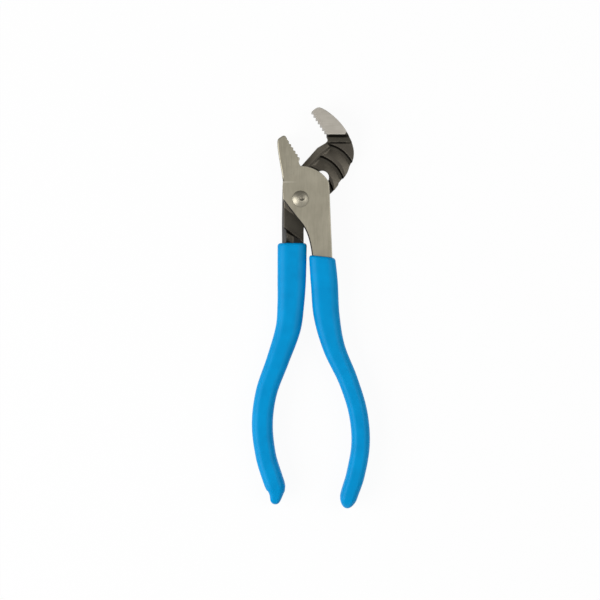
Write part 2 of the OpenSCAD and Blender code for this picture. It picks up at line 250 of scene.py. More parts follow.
@dataclass(frozen=True)
class BareSteel(Steel):
    """Forged carbon steel, ground bright on a belt and left bare.

    It gives the eye a warm grey satin face with hair-fine grinding lines, cloudy patches where the
    belt bore harder, edges rubbed a little brighter, and in its third colour the painted highlight
    and painted shade that a piece marks.
    """

    grind: Grind
    line: float = 0.3
    cloud: float = 5.0
    line_depth: float = 0.006
    play: float = 0.06

    def shade(self, tree: NodeTree) -> Node:
        """Adds the ground steel's nodes.

        Args:
            tree: Tree that takes them.

        Returns:
            The shader.
        """
        place = add_node(tree, "ShaderNodeTexCoord").outputs["Object"]
        drawn = tuple(per_metre(self.line * stretch) for stretch in self.grind.value)
        along = add_node(tree, "ShaderNodeMapping", {"Vector": place, "Scale": drawn})
        # Real grinding lines are about 0.05 mm apart, and are drawn coarser so that they show.
        lines = add_node(tree, "ShaderNodeTexNoise",
                         {"Vector": along, "Scale": 1.0, "Detail": 3.0, "Roughness": 0.6})
        clouds = add_node(tree, "ShaderNodeTexNoise",
                          {"Vector": place, "Scale": per_metre(self.cloud), "Detail": 4.0,
                           "Roughness": 0.55})
        both = add_node(tree, "ShaderNodeMath", {0: lines, 1: clouds}, operation="ADD")
        rough = add_node(tree, "ShaderNodeMapRange",
                         {"Value": both, "From Min": 0.6, "From Max": 1.4,
                          "To Min": self.rough - self.play, "To Max": self.rough + self.play})
        bump = add_node(tree, "ShaderNodeBump",
                        {"Height": lines, "Strength": 0.5, "Distance": self.line_depth * MM})
        return add_node(tree, "ShaderNodeBsdfPrincipled",
                        {"Base Color": self.tint(tree, both, clouds), "Metallic": 1.0,
                         "Roughness": rough, "Normal": bump})


@dataclass(frozen=True)
class BlackOxide(Steel):
    """Forged carbon steel, blackened hot and oiled.

    It gives the eye a brown-black satin skin with the grain of the forging scale, oil drying in
    patches, and steel that shows through where edges rub.
    """

    metal: float = 0.75
    grain: float = 0.35
    patch: float = 3.5
    grain_depth: float = 0.02
    play: float = 0.08

    def shade(self, tree: NodeTree) -> Node:
        """Adds the blackened steel's nodes.

        Args:
            tree: Tree that takes them.

        Returns:
            The shader.
        """
        place = add_node(tree, "ShaderNodeTexCoord").outputs["Object"]
        grain = add_node(tree, "ShaderNodeTexNoise",
                         {"Vector": place, "Scale": per_metre(self.grain), "Detail": 4.0,
                          "Roughness": 0.6})
        patch = add_node(tree, "ShaderNodeTexNoise",
                         {"Vector": place, "Scale": per_metre(self.patch), "Detail": 5.0,
                          "Roughness": 0.6, "Distortion": 0.4})
        both = add_node(tree, "ShaderNodeMath", {0: grain, 1: patch}, operation="ADD")
        rub = add_node(tree, "ShaderNodeMapRange",
                       {"Value": both, "From Min": 0.85, "From Max": 1.25})
        rough = add_node(tree, "ShaderNodeMapRange",
                         {"Value": patch, "From Min": 0.3, "From Max": 0.7,
                          "To Min": self.rough - self.play, "To Max": self.rough + self.play})
        bump = add_node(tree, "ShaderNodeBump",
                        {"Height": grain, "Strength": 0.6, "Distance": self.grain_depth * MM})
        return add_node(tree, "ShaderNodeBsdfPrincipled",
                        {"Base Color": self.tint(tree, both, rub), "Metallic": self.metal,
                         "Roughness": rough, "Normal": bump})


@dataclass(frozen=True)
class DippedVinyl(Finish):
    """Plastisol vinyl, dipped on hot and cured.

    It gives the eye one even blue with a soft gloss, a slow waviness from the dip, a fine skin
    that breaks up the highlight, and faint cloudiness in the colour.
    """

    low: str
    high: str
    rough: float = 0.38
    play: float = 0.05
    ior: float = 1.53
    gloss: float = 0.07
    wave: float = 4.0
    skin: float = 0.35
    wave_depth: float = 0.05
    skin_depth: float = 0.006

    def shade(self, tree: NodeTree) -> Node:
        """Adds the vinyl's nodes.

        Args:
            tree: Tree that takes them.

        Returns:
            The shader.
        """
        place = add_node(tree, "ShaderNodeTexCoord").outputs["Object"]
        wave = add_node(tree, "ShaderNodeTexNoise",
                        {"Vector": place, "Scale": per_metre(self.wave), "Detail": 2.0,
                         "Roughness": 0.5})
        skin = add_node(tree, "ShaderNodeTexNoise",
                        {"Vector": place, "Scale": per_metre(self.skin), "Detail": 3.0,
                         "Roughness": 0.6})
        share = add_node(tree, "ShaderNodeMapRange",
                         {"Value": wave, "From Min": 0.3, "From Max": 0.7})
        colour = add_node(tree, "ShaderNodeMix",
                          {0: share, 6: linear(self.low), 7: linear(self.high)}, data_type="RGBA")
        rough = add_node(tree, "ShaderNodeMapRange",
                         {"Value": skin, "From Min": 0.3, "From Max": 0.7,
                          "To Min": self.rough - self.play, "To Max": self.rough + self.play})
        slow = add_node(tree, "ShaderNodeBump",
                        {"Height": wave, "Strength": 0.5, "Distance": self.wave_depth * MM})
        fine = add_node(tree, "ShaderNodeBump",
                        {"Height": skin, "Strength": 0.5, "Distance": self.skin_depth * MM,
                         "Normal": slow})
        return add_node(tree, "ShaderNodeBsdfPrincipled",
                        {"Base Color": colour.outputs[2], "Roughness": rough, "IOR": self.ior,
                         "Specular IOR Level": self.gloss, "Normal": fine})


# Belt-ground lengthways: a warm grey satin with fine lines down the tool.
GROUND = BareSteel("ground_carbon_steel", "#868172", "#928d7e", "#a8a395", 0.42, Grind.LENGTHWAYS)
# Belt-ground across: a paler grey, with its lines square to the jaw.
JAW_GROUND = BareSteel("ground_jaw_steel", "#98938a", "#a5a097", "#b8b3a9", 0.42, Grind.CROSSWAYS)
# Oiled black oxide as it comes: a brown-black satin.
BLACKENED = BlackOxide("black_oxide_steel", "#302d26", "#3e3a32", "#625d53", 0.46)
# A little paler, with grey at its edges: oxide rubbed where the other half slides on the neck's
# lands, a painted highlight in a band at the step's foot, and a paler band beside the corner under
# the step.
RUBBED_AND_HIGHLIGHT = BlackOxide("rubbed_oxide_and_highlight", "#3b3730", "#4a453d", "#696459", 0.46)
# A grey-brown in which steel shows: wear on the lap where the halves rub, and painted light on the
# groove slopes.
WORN_AND_PAINTED_LIGHT = BlackOxide("worn_and_painted_light_oxide", "#5a554b", "#6b655a", "#857f73", 0.46)
# Painted shade: black oxide darkened to nearly black, with hardly a highlight, where shadow falls
# in groove walls, on the ledge, in the throat, under the step and along the heel.
PAINTED_SHADE = BlackOxide("painted_shade_oxide", "#100e0b", "#191612", "#24211c", 0.5)
# Oxide polished by turning in its track: an even mid grey.
BOLT = BlackOxide("oiled_bolt_steel", "#5f5a52", "#736e65", "#98938a", 0.42)
# Turned bright, without grinding lines: a soft highlight, and a punch mark darkened as painted
# shade.
RIVET = BareSteel("turned_rivet_steel", "#8c8779", "#989385", "#4a463e", 0.43, Grind.NONE)
# Dipped and cured: one even blue with a soft gloss.
VINYL = DippedVinyl("dipped_blue_vinyl", "#008ecc", "#0096d5")


@dataclass
class Piece(ABC):
    """One visible piece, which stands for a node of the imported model."""

    node: str
    body: str
    slot: str
    piece: str

    @abstractmethod
    def shape(self) -> BMesh:
        """Builds the piece's mesh in place, in metres."""

    @abstractmethod
    def finishes(self) -> list[Finish]:
        """The finishes in the order of the mesh's material numbers."""

    def dress(self, face: BMFace, finish: Finish) -> None:
        """Gives a face one of the piece's finishes."""
        face.material_index = self.finishes().index(finish)

    def build(self) -> Object:
        """Makes the object, dresses it, hangs it on its body and hides the node it stands for.

        Returns:
            The finished object, which rides on its body.
        """
        bm = self.shape()
        for face in bm.faces:
            face.smooth = True
        mesh = bpy.data.meshes.new(self.piece)
        bm.to_mesh(mesh)
        bm.free()
        folds = [e.use_edge_sharp for e in mesh.edges]
        mesh.set_sharp_from_angle(angle=CREASE)
        for edge, fold in zip(mesh.edges, folds):
            edge.use_edge_sharp = edge.use_edge_sharp or fold
        for finish in self.finishes():
            mesh.materials.append(finish.material())
        made = add_object(self.piece, mesh)
        made.modifiers.new("flat_faces", "WEIGHTED_NORMAL").keep_sharp = True
        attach(made, self.body)
        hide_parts(self.node)
        log.info("%s: %d faces, rides on %s", self.piece, len(mesh.polygons), self.body)
        return made


@dataclass
class Forging(Piece):
    """A steel half: a merged copy of its solid with its edges rounded."""

    bite_start: Vector
    bite_length: float
    steel_on: int
    grip_y: float
    cut_across: Vector
    tight_spots: list[Vector]
    tight_reach: float = 0.5
    sharp_from: float = 40.0
    fold_from: float = 0.5
    flat_within: float = 0.2
    bite_angle: float = 123.0
    bite_ends: float = 0.2
    bite_skin: float = 0.1
    tooth_depth: float = 0.48

    def on_teeth(self, vert: BMVert) -> bool:
        """Whether a corner lies on the toothed face.

        Args:
            vert: The corner.

        Returns:
            True along the teeth and through their depth, or a hair past them.
        """
        angle = math.radians(self.bite_angle)
        way = Vector((math.cos(angle), math.sin(angle)))
        into = Vector((-way.y, way.x)) * self.steel_on
        offset = vert.co.xy / MM - self.bite_start
        inside = -self.bite_ends < offset.dot(way) < self.bite_length + self.bite_ends
        return inside and -self.bite_skin < offset.dot(into) < self.tooth_depth + self.bite_skin

    def merged(self) -> BMesh:
        """Copies the node's mesh, joins its loose triangles and clears lines inside flat faces.

        Returns:
            A closed mesh with a layer that marks rounded edges and any painted highlight.
        """
        bm = bmesh.new()
        bm.from_mesh(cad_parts[self.node].data)
        bm.faces.layers.float.new(WEAR_AND_PAINT_LAYER)
        bmesh.ops.remove_doubles(bm, verts=bm.verts, dist=WELD)
        bmesh.ops.dissolve_limit(bm, angle_limit=math.radians(self.flat_within), verts=bm.verts,
                                 edges=bm.edges, use_dissolve_boundaries=False,
                                 delimit={"NORMAL"})
        # A cut through the pivot leaves no face that runs all the way round a hole.
        self.cut(bm, bm.faces, Vector(), self.cut_across)
        return bm

    @staticmethod
    def cut(bm: BMesh, faces: Iterable[BMFace], at: Vector, across: Vector) -> None:
        """Draws a line across faces.

        Args:
            bm: Mesh that holds the faces.
            faces: Faces to cut.
            at: Point of the line, in millimetres.
            across: Direction square to the line.
        """
        faces = list(faces)
        edges = {e for f in faces for e in f.edges}
        verts = {v for f in faces for v in f.verts}
        bmesh.ops.bisect_plane(bm, geom=faces + list(edges) + list(verts), dist=WELD,
                               plane_co=at * MM, plane_no=across)

    def crisp(self, edge: BMEdge) -> bool:
        """Whether an edge of the bare steel points outwards, is still sharp and has room.

        Args:
            edge: The edge.

        Returns:
            True where it can be rounded.
        """
        if len(edge.link_faces) != 2 or not edge.is_convex:
            return False
        if max(v.co.y for v in edge.verts) < self.grip_y * MM or self.tight(edge):
            return False
        return edge.calc_face_angle(0.0) > math.radians(self.sharp_from)

    def tight(self, edge: BMEdge) -> bool:
        """Whether an edge ends in a corner that is too tight to round."""
        return any((v.co / MM - place).length < self.tight_reach
                   for v in edge.verts for place in self.tight_spots)

    def soften(self, bm: BMesh, wanted: Callable[[BMEdge], bool], kind: Edge) -> list[BMFace]:
        """Rounds crisp edges and marks the new faces.

        Args:
            bm: Mesh that holds the edges.
            wanted: Test that an edge also has to pass.
            kind: How far and in how many steps.

        Returns:
            The new faces.
        """
        layer = bm.faces.layers.float[WEAR_AND_PAINT_LAYER]
        edges = [e for e in bm.edges if self.crisp(e) and wanted(e)]
        made = bmesh.ops.bevel(bm, geom=edges, offset=kind.width, offset_type="OFFSET",
                               segments=kind.steps, profile=0.5, affect="EDGES", material=-1,
                               clamp_overlap=False, loop_slide=True)["faces"]
        for face in made:
            face[layer] = kind.wear
        return made

    def fold(self, bm: BMesh) -> None:
        """Keeps the lines between flat faces sharp, so that no shading runs across them.

        Args:
            bm: The half's mesh.
        """
        layer = bm.faces.layers.float[WEAR_AND_PAINT_LAYER]
        least = math.radians(self.fold_from)
        for edge in bm.edges:
            flat = any(abs(f.normal.z) > SQUARE for f in edge.link_faces)
            plain = all(f[layer] == 0.0 for f in edge.link_faces)
            edge.smooth = not (flat and plain and edge.calc_face_angle(0.0) > least)

    def keep_inside(self, bm: BMesh) -> None:
        """Draws a rounded corner that runs past the solid's box back to it.

        Args:
            bm: The half's mesh.
        """
        low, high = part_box(self.node)
        for vert in bm.verts:
            vert.co = [min(max(c, a), b) for c, a, b in zip(vert.co, low, high)]

    def tooth_edge(self, edge: BMEdge) -> bool:
        """Whether an edge belongs to the teeth."""
        return all(map(self.on_teeth, edge.verts))


@dataclass
class FrontHalf(Forging):
    """The bright half on top: left jaw, round hub and the right handle's steel."""

    # Heights and lines of the upper face, the jaw's rim, the lap below and the rivet's recess.
    top_z: float = 6.5
    rim_x: float = -4.4
    lap_z: float = 3.58
    lap_to_y: float = 10.3
    wall_lean: float = 0.5
    recess_r: float = 2.45
    tongue_r: tuple[float, float] = (8.0, 10.6)
    # The heel, the Y below which its rounding carries painted shadow, and how far the left side
    # moves out to its photographed line at each Y.
    heel_y: float = 0.52
    dark_y: float = -0.15
    fills: tuple[tuple[float, float], ...] = (
        (4.9, 0.0), (3.2, 0.32), (0.0, 0.32), (-0.63, 0.4), (-5.9, 0.6), (-9.3, 0.42), (-16.5, 0.3))
    # The faint step at the jaw's root and the painted highlight beside it.
    step_y: float = 4.95
    step_run: float = 1.0
    step_left: Vector = spot(-4.95, 4.95, 6.85)
    step_reach: float = 0.6
    line_width: float = 0.3
    line_from: float = -4.0
    line_length: float = 3.2
    line_steps: int = 12
    highlight_strength: float = 1.8

    def finishes(self) -> list[Finish]:
        """Ground steel, black oxide where the belt never reaches, and painted shadow along the
        heel.
        """
        return [GROUND, BLACKENED, PAINTED_SHADE]

    def on_top(self, edge: BMEdge) -> bool:
        """Whether an edge lies in the upper face."""
        return all(v.co.z > self.top_z * MM for v in edge.verts)

    def in_recess(self, edge: BMEdge) -> bool:
        """Whether an edge belongs to the rivet's recess."""
        return all(v.co.xy.length < self.recess_r * MM for v in edge.verts)

    def on_step(self, vert: BMVert) -> bool:
        """Whether a corner lies on the faint step's line."""
        return abs(vert.co.y - self.step_y * MM) < NEAR * MM

    def left_wall(self, face: BMFace) -> bool:
        """Whether a face is part of the left side of hub, heel and shank.

        Args:
            face: The face.

        Returns:
            True for an upright face there that reaches the upper face.
        """
        middle = middle_of(face)
        upright = abs(face.normal.z) < BESIDE and face.normal.x < -TOWARD
        high = max(v.co.z for v in face.verts) > self.top_z * MM
        return upright and high and middle.xy.length > self.recess_r and middle.y < self.step_y

    def fill_rim(self, bm: BMesh) -> None:
        """Moves the left side of hub, heel and shank out to the line that the photograph shows.

        Args:
            bm: The half's mesh.
        """
        for vert in {v for f in bm.faces if self.left_wall(f) for v in f.verts}:
            y = vert.co.y / MM
            for (high, first), (low, last) in zip(self.fills, self.fills[1:]):
                if low <= y < high:
                    vert.co.x -= (first + (last - first) * (high - y) / (high - low)) * MM

    def jaw_rim(self, edge: BMEdge) -> bool:
        """Whether an edge runs down the left of the jaw's face."""
        return self.on_top(edge) and all(
            v.co.x < self.rim_x * MM and v.co.y > (self.step_y - NEAR) * MM for v in edge.verts)

    def at_step(self, edge: BMEdge) -> bool:
        """Whether an edge ends where the jaw's rounded rim runs out at the step."""
        return any((v.co / MM - self.step_left).length < self.step_reach for v in edge.verts)

    def hub_rim(self, edge: BMEdge) -> bool:
        """Whether an edge runs down the left of the hub's face."""
        return self.on_top(edge) and any(map(self.left_wall, edge.link_faces))

    def heel_rim(self, edge: BMEdge) -> bool:
        """Whether an edge runs along the heel or down the inner side of the shank."""
        return self.hub_rim(edge) and all(v.co.y < self.heel_y * MM for v in edge.verts)

    def top_faces(self, bm: BMesh) -> list[BMFace]:
        """Picks the flat faces on top that no rounding has made.

        Args:
            bm: The half's mesh.

        Returns:
            The faces.
        """
        layer = bm.faces.layers.float[WEAR_AND_PAINT_LAYER]
        return [f for f in bm.faces
                if f.normal.z > FLAT and f[layer] == 0.0 and middle_of(f).z > self.top_z]

    def on_line(self, face: BMFace) -> bool:
        """Whether a face lies in the narrow band beside the faint step."""
        return self.step_y - self.line_width < middle_of(face).y < self.step_y

    def close_step(self, bm: BMesh) -> None:
        """Slopes the faint step at the jaw's root, so that the rim runs past it without a break.

        Args:
            bm: The half's mesh.
        """
        self.cut(bm, self.top_faces(bm), Y_WAY * (self.step_y - self.step_run), Y_WAY)
        corner = [v for v in filter(self.on_step, bm.verts)
                  if v.co.x < self.rim_x * MM and v.co.z > self.top_z * MM]
        low = min(corner, key=lambda v: v.co.z)
        bmesh.ops.pointmerge(bm, verts=corner, merge_co=low.co)
        walls = [f for f in bm.faces if abs(f.normal.z) < BESIDE and f.normal.x < -SQUARE]
        self.cut(bm, walls, Y_WAY * self.step_y, Y_WAY)

    def paint_step_highlight(self, bm: BMesh) -> None:
        """Paints a highlight, fading inwards, along the faint step at the jaw's root.

        Args:
            bm: The half's mesh.
        """
        layer = bm.faces.layers.float[WEAR_AND_PAINT_LAYER]
        for down in (0.0, self.line_width):
            self.cut(bm, self.top_faces(bm), Y_WAY * (self.step_y - down), Y_WAY)
        for i in range(self.line_steps):
            fade = self.line_from + self.line_length * i / self.line_steps
            self.cut(bm, filter(self.on_line, self.top_faces(bm)), X_WAY * fade, X_WAY)
        for face in filter(self.on_line, self.top_faces(bm)):
            share = 1 - (middle_of(face).x - self.line_from) / self.line_length
            face[layer] = self.highlight_strength * min(max(share, 0.0), 1.0)

    def on_tongue(self, vert: BMVert) -> bool:
        """Whether a corner belongs to the tongue under the hub."""
        near, far = self.tongue_r
        return (vert.co.z < (self.lap_z - NEAR) * MM and vert.co.y < 0
                and near < vert.co.xy.length / MM < far)

    def left_alone(self, edge: BMEdge) -> bool:
        """Whether an edge stays as it is: tooth, tongue, rivet's recess or faint step."""
        step = self.at_step(edge) or self.on_top(edge) and all(map(self.on_step, edge.verts))
        return (step or self.in_recess(edge) or self.tooth_edge(edge)
                or all(map(self.on_tongue, edge.verts)))

    def shape(self) -> BMesh:
        """Builds the bright half.

        Returns:
            Its mesh in place, in metres.
        """
        bm = self.merged()
        self.close_step(bm)
        self.fill_rim(bm)
        for face in bm.faces:
            middle = middle_of(face)
            wall = abs(face.normal.z) < self.wall_lean and middle.y < self.step_y
            lap = face.normal.z < -TOWARD and middle.z < self.lap_z + NEAR
            self.dress(face, BLACKENED if wall or lap and middle.y < self.lap_to_y else GROUND)
        self.soften(bm, self.jaw_rim, Edge.EASED)
        # Below dark_y the heel's rounding is painted near black as the shadow between the two
        # halves.
        for face in self.soften(bm, self.heel_rim, Edge.SHADED):
            self.dress(face, PAINTED_SHADE if middle_of(face).y < self.dark_y else GROUND)
        self.soften(bm, lambda e: self.hub_rim(e) and not self.at_step(e), Edge.TRUE)
        self.soften(bm, lambda e: not self.left_alone(e), Edge.BROKEN)
        self.paint_step_highlight(bm)
        self.keep_inside(bm)
        self.fold(bm)
        return bm


@dataclass
class RearHalf(Forging):
    """The dark half below: hooked jaw, slotted and grooved neck and the left handle's steel."""

    # The jaw's two ground sides, its shoulder and the corner that the grinding leaves black.
    jaw_face: float = 6.69
    jaw_back: float = 0.39
    shoulder_y: float = 18.36
    corner_at: Vector = spot(12.64, 18.47)
    corner_across: Vector = spot(0.812, -0.583)
    corner_z: float = 6.0
    corner_fall: float = 0.35
    corner_lean: float = 0.3
    # The ledge below the shoulder, whose walls carry painted shade between two ends.
    ledge_y: float = 15.9
    ledge_split_y: float = 17.0
    ledge_from_x: float = 8.5
    ledge_to_x: float = 12.9
    # The neck's lands and grooves.
    lap_z: float = 3.5
    rubbed_from: float = 1.2
    slope_lean: float = 0.8
    steep: tuple[float, float] = (0.05, 0.6)
    groove_z: float = 2.0
    groove_end_at: float = 4.65
    # The neck's upper side, from the hub to the corner before the throat.
    neck_side: float = 6.2
    neck_from_y: float = 8.0
    neck_hub_y: float = 12.0
    neck_to_y: float = 15.5
    neck_widen: Vector = spot(-0.18, 0.18)
    neck_corner: Vector = spot(4.85, 14.85, 0.351)
    neck_lean: float = 0.891
    throat_lean: float = 1.715
    slope_top: float = 0.39
    # The strip of land in which the outer groove's steep side runs out into the throat.
    throat_low: Vector = spot(7.7, 15.2, 2.98)
    throat_high: Vector = spot(8.9, 15.97, 3.52)
    run_out_from: Vector = spot(8.8, 15.8, 3.5)
    run_out_foot: Vector = spot(8.25, 15.22, 3.5)
    run_out_across: Vector = spot(-0.16, -0.987)
    run_out_width: float = 0.3
    run_out_depths: tuple[float, float] = (0.45, 0.2)
    # The shank's outer side, which leans in above its parting line.
    outer_x: float = -5.18
    shank_x: float = -3.8
    shank_from_y: float = 3.6
    rim_z: float = 3.0
    parting_z: float = 1.24
    draft: float = 0.29
    draft_fade: float = 8.0
    swell: float = 0.14
    swell_from_y: float = -5.0
    strip_x: float = -4.2
    step_side_y: float = -7.6
    # The step above the grip, the painted bands of shade and light beside it and the patch of wear
    # on the lap.
    right_x: float = 0.91
    lip_y: float = -12.4
    lip_z: float = 4.5
    step_turn: float = 0.25
    step_foot_y: float = -11.0
    step_ends: tuple[float, float] = (-9.0, -6.9)
    step_left: Vector = spot(-5.18, -7.6)
    step_across: Vector = spot(0.596, 0.803)
    step_band: float = 0.45
    crook_x: float = -1.9
    crook_band: float = 0.45
    lap_wear_at: Vector = spot(-4.4, -2.67)
    lap_wear_across: Vector = spot(0.55, 0.83)

    def finishes(self) -> list[Finish]:
        """Black oxide; ground jaw sides and teeth; painted shade in hollows and under the step;
        rubbed lands and a painted highlight by the step; painted light on the slopes and a patch of
        wear on the lap.
        """
        return [BLACKENED, JAW_GROUND, PAINTED_SHADE, RUBBED_AND_HIGHLIGHT, WORN_AND_PAINTED_LIGHT]

    def shank_rim(self, edge: BMEdge) -> bool:
        """Whether an edge runs down the outer side of the shank's face."""
        return all(v.co.x < self.shank_x * MM and v.co.y < self.shank_from_y * MM
                   and v.co.z > self.rim_z * MM for v in edge.verts)

    def groove_end(self, edge: BMEdge) -> bool:
        """Whether an edge lies in the line where the grooves stop short of the neck's bevel."""
        return all(abs(v.co.dot(self.cut_across) / MM - self.groove_end_at) < NEAR
                   for v in edge.verts)

    def in_throat(self, vert: BMVert) -> bool:
        """Whether a corner lies on the land between the throat and the outer groove."""
        return all(a < c < b for a, c, b in zip(self.throat_low, vert.co / MM, self.throat_high))

    def throat_land(self, face: BMFace) -> bool:
        """Whether a face is part of the land that the outer groove runs out in."""
        return (face.normal.z > LEVEL and any(map(self.in_throat, face.verts))
                and min(v.co.x for v in face.verts) < self.run_out_from.x * MM - HAIR)

    def on_ledge(self, face: BMFace) -> bool:
        """Whether a face is one of the ledge's leaning walls."""
        return (self.steep[0] < face.normal.z < self.steep[1] and face.normal.y < -SQUARE
                and all(v.co.y > self.ledge_y * MM for v in face.verts))

    def on_side(self, vert: BMVert) -> bool:
        """Whether a corner of the bare solid lies in the shank's outer side."""
        return (abs(vert.co.x / MM - self.outer_x) < NEAR
                and self.lip_y - NEAR < vert.co.y / MM < self.shank_from_y)

    def on_lap(self, face: BMFace) -> bool:
        """Whether a face is part of the shank's flat that the front half turns on."""
        middle = middle_of(face)
        return (face.normal.z > LEVEL and abs(middle.z - self.lap_z) < ABOUT
                and middle.x < self.rubbed_from)

    def above_lip(self, face: BMFace) -> bool:
        """Whether a face is part of the flat between the step and the grip."""
        middle = middle_of(face)
        return (face.normal.z > LEVEL and middle.z > self.lip_z
                and self.lip_y < middle.y < self.step_side_y)

    def turn_step(self, bm: BMesh) -> None:
        """Turns the step above the grip to its photographed line, and cuts the bands beside it.

        Args:
            bm: The half's mesh.
        """
        for vert in bm.verts:
            x, y, z = vert.co / MM
            if abs(x - self.right_x) < NEAR and z > self.lap_z - NEAR and y < self.step_foot_y:
                vert.co.y = (self.lip_y + (y - self.lip_y) * self.step_turn) * MM
        band = self.step_left + self.step_across * self.step_band
        self.cut(bm, [f for f in bm.faces if f.normal.z > LEVEL], band, self.step_across)
        self.cut(bm, filter(self.on_lap, bm.faces), self.lap_wear_at, self.lap_wear_across)
        for x in (self.crook_x, self.crook_x - self.crook_band):
            self.cut(bm, filter(self.above_lip, bm.faces), X_WAY * x, X_WAY)

    def draft_side(self, bm: BMesh) -> None:
        """Leans the shank's outer side in above its parting line, as a forging leaves its die.

        Args:
            bm: The half's mesh.
        """
        for at, way in ((self.parting_z, Z_WAY), (self.step_side_y, Y_WAY)):
            wall = [f for f in bm.faces if all(map(self.on_side, f.verts))]
            self.cut(bm, wall, way * at, way)
        for vert in bm.verts:
            y = vert.co.y / MM
            fade = min(max((self.shank_from_y - y) / self.draft_fade, 0), 1)
            lean = max(vert.co.z - self.parting_z * MM, 0) * self.draft * fade
            if self.on_side(vert):
                shift = lean - (self.swell * MM if y < self.swell_from_y else 0)
                vert.co.x += shift
                if self.step_ends[0] < y < self.step_ends[1] and lean > 0:
                    vert.co.y -= shift * self.step_across.x / self.step_across.y
            # Inside the coat's mouth, the handle's first ring stays inside the leaning side.
            elif abs(y - self.lip_y) < NEAR and lean > 0:
                vert.co.x = max(vert.co.x, (self.outer_x + ABOUT) * MM + lean)

    def widen_neck(self, bm: BMesh) -> None:
        """Moves the neck's upper side out to its photographed line, from the hub to the throat.

        The slope at the back's end keeps its own two lines, so corners on them slide across only.

        Args:
            bm: The half's mesh.
        """
        corner, moved = self.neck_corner, []
        for vert in bm.verts:
            y, z = vert.co.y / MM, vert.co.z / MM
            upper = vert.co.dot(self.cut_across) >= self.neck_side * MM
            if not (upper and self.neck_from_y < y < self.neck_to_y):
                continue
            moved.append(vert)
            if y < self.neck_hub_y:
                vert.co += self.neck_widen * min(y - self.neck_from_y, 1) * MM
            elif min(z, abs(z - self.slope_top)) < NEAR:
                lean = self.neck_lean if y < corner.y else self.throat_lean
                vert.co.x = (corner.x + (y - corner.y) * lean) * MM
            else:
                vert.co = Vector((corner.x, corner.y, max(z, corner.z))) * MM
        bmesh.ops.remove_doubles(bm, verts=moved, dist=NEAR * MM)

    def run_groove_out(self, bm: BMesh) -> None:
        """Lets the outer groove's steep side run out into the throat.

        It also cuts the ledge's walls at the two ends of their oily part.

        Args:
            bm: The half's mesh.
        """
        start, across = self.run_out_from, self.run_out_across
        lines = ((start, X_WAY), (start, across), (start + across * self.run_out_width, across),
                 (self.run_out_foot, self.cut_across.cross(Z_WAY)))
        for at, way in lines:
            self.cut(bm, filter(self.throat_land, bm.faces), at, way)
        for vert in filter(self.in_throat, bm.verts):
            off = (vert.co / MM - start).dot(across)
            if abs(off - self.run_out_width) < NEAR:
                at_foot = vert.co.x < self.run_out_foot.x * MM
                vert.co.z -= self.run_out_depths[at_foot] * MM
        for x in (self.ledge_from_x, self.ledge_to_x):
            self.cut(bm, filter(self.on_ledge, bm.faces), X_WAY * x, X_WAY)

    def drop_corner(self, bm: BMesh) -> None:
        """Drops the outer corner of the jaw's ground side, which the grinding leaves black.

        Args:
            bm: The half's mesh.
        """
        ground = self.jaw_face - ABOUT
        side = [f for f in bm.faces if f.normal.z > LEVEL and middle_of(f).z > ground]
        self.cut(bm, side, self.corner_at, self.corner_across)
        for vert in bm.verts:
            fall = (vert.co - self.corner_at * MM).dot(self.corner_across) * self.corner_fall
            if fall > HAIR and vert.co.z > ground * MM:
                vert.co.z -= fall
                # The ledge's wall below leans, and its upper edge stays in it.
                if vert.co.y < (self.shoulder_y + ABOUT) * MM:
                    vert.co.y -= self.corner_lean * fall

    def shank_finish(self, face: BMFace) -> Finish | None:
        """Picks the finish of a face of the shank.

        Args:
            face: A face of the bare solid.

        Returns:
            The finish, or nothing where the shank gives the face none of its own.
        """
        middle = middle_of(face)
        # Between the step and the grip: painted shadow in the corner under the step, a paler band
        # beside it, and plain oxide beyond.
        if self.above_lip(face):
            if middle.x > self.crook_x:
                return PAINTED_SHADE
            return RUBBED_AND_HIGHLIGHT if middle.x > self.crook_x - self.crook_band else BLACKENED
        # On the lap: the patch of wear where the halves rub, and a painted highlight along the
        # step's foot.
        if self.on_lap(face):
            if (middle - self.lap_wear_at).dot(self.lap_wear_across) > 0:
                return WORN_AND_PAINTED_LIGHT
            off = (middle - self.step_left).dot(self.step_across)
            return RUBBED_AND_HIGHLIGHT if 0 < off < self.step_band else None
        # The shank's outer side below the step is painted dark as shade.
        side = face.normal.x < -SQUARE and middle.x < self.strip_x and middle.z > self.parting_z
        return PAINTED_SHADE if side and self.lip_y < middle.y < self.step_side_y else None

    def jaw_finish(self, face: BMFace) -> Finish | None:
        """Picks the finish of a face of the jaw or the throat.

        Args:
            face: A face of the bare solid.

        Returns:
            The finish, or nothing where the jaw gives the face none of its own.
        """
        middle = middle_of(face)
        # The run-out's faces that look toward the pivot carry painted shade.
        if face.normal.y < -TOWARD and all(map(self.in_throat, face.verts)):
            return PAINTED_SHADE
        # Beyond the two ends of their painted shade, the ledge's walls are plain oxide.
        inner = middle.y < self.ledge_split_y and middle.x < self.ledge_from_x
        ledge = face.normal.y < -SQUARE and middle.y > self.ledge_y
        if ledge and (inner or middle.x > self.ledge_to_x):
            return BLACKENED
        black = middle.z > self.corner_z and (middle - self.corner_at).dot(self.corner_across) > 0
        ground = middle.z > self.jaw_face - ABOUT or abs(middle.z - self.jaw_back) < ABOUT
        side = abs(face.normal.z) > FLAT and ground and not black and middle.y > self.shoulder_y
        return JAW_GROUND if side or all(map(self.on_teeth, face.verts)) else None

    def neck_finish(self, face: BMFace) -> Finish:
        """Picks the finish of a face of the neck or of any other plain part.

        Args:
            face: A face of the bare solid.

        Returns:
            The finish.
        """
        middle, up = middle_of(face), face.normal.z
        grooved = middle.x > self.rubbed_from and 0 < middle.y < self.ledge_y
